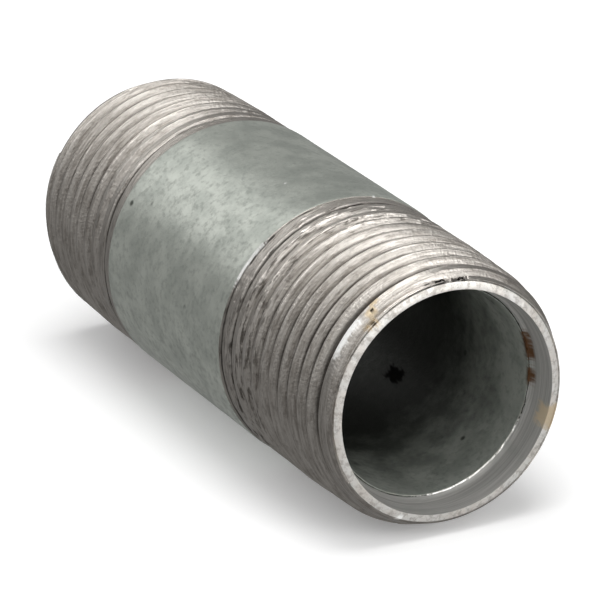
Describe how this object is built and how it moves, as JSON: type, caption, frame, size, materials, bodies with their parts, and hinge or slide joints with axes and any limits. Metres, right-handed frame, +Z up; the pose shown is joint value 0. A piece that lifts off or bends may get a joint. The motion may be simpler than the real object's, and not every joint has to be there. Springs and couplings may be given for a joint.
{
  "type": "threaded pipe nipple",
  "caption": "Short galvanised steel pipe with a tapered right-hand male pipe thread on each end and a plain zinc-coated middle.",
  "frame": {"origin": "middle of the nipple: the centre of its box, on the pipe's axis", "axes": "+X along the pipe's axis towards the end with the longer thread (the front end); +Z up as it lies"},
  "size_m": [0.0636, 0.0268, 0.0268],
  "materials": {
    "bare_steel": "bare cut steel, satin, with tool marks",
    "barrel_zinc": "hot-dip zinc, weathered matte grey-green",
    "bore_zinc": "hot-dip zinc, dull dark grey-green"
  },
  "bodies": {
    "root": {"pipe_steel": "bare_steel", "outer_zinc_coat": "barrel_zinc", "inner_zinc_coat": "bore_zinc"}
  },
  "joints": []
}
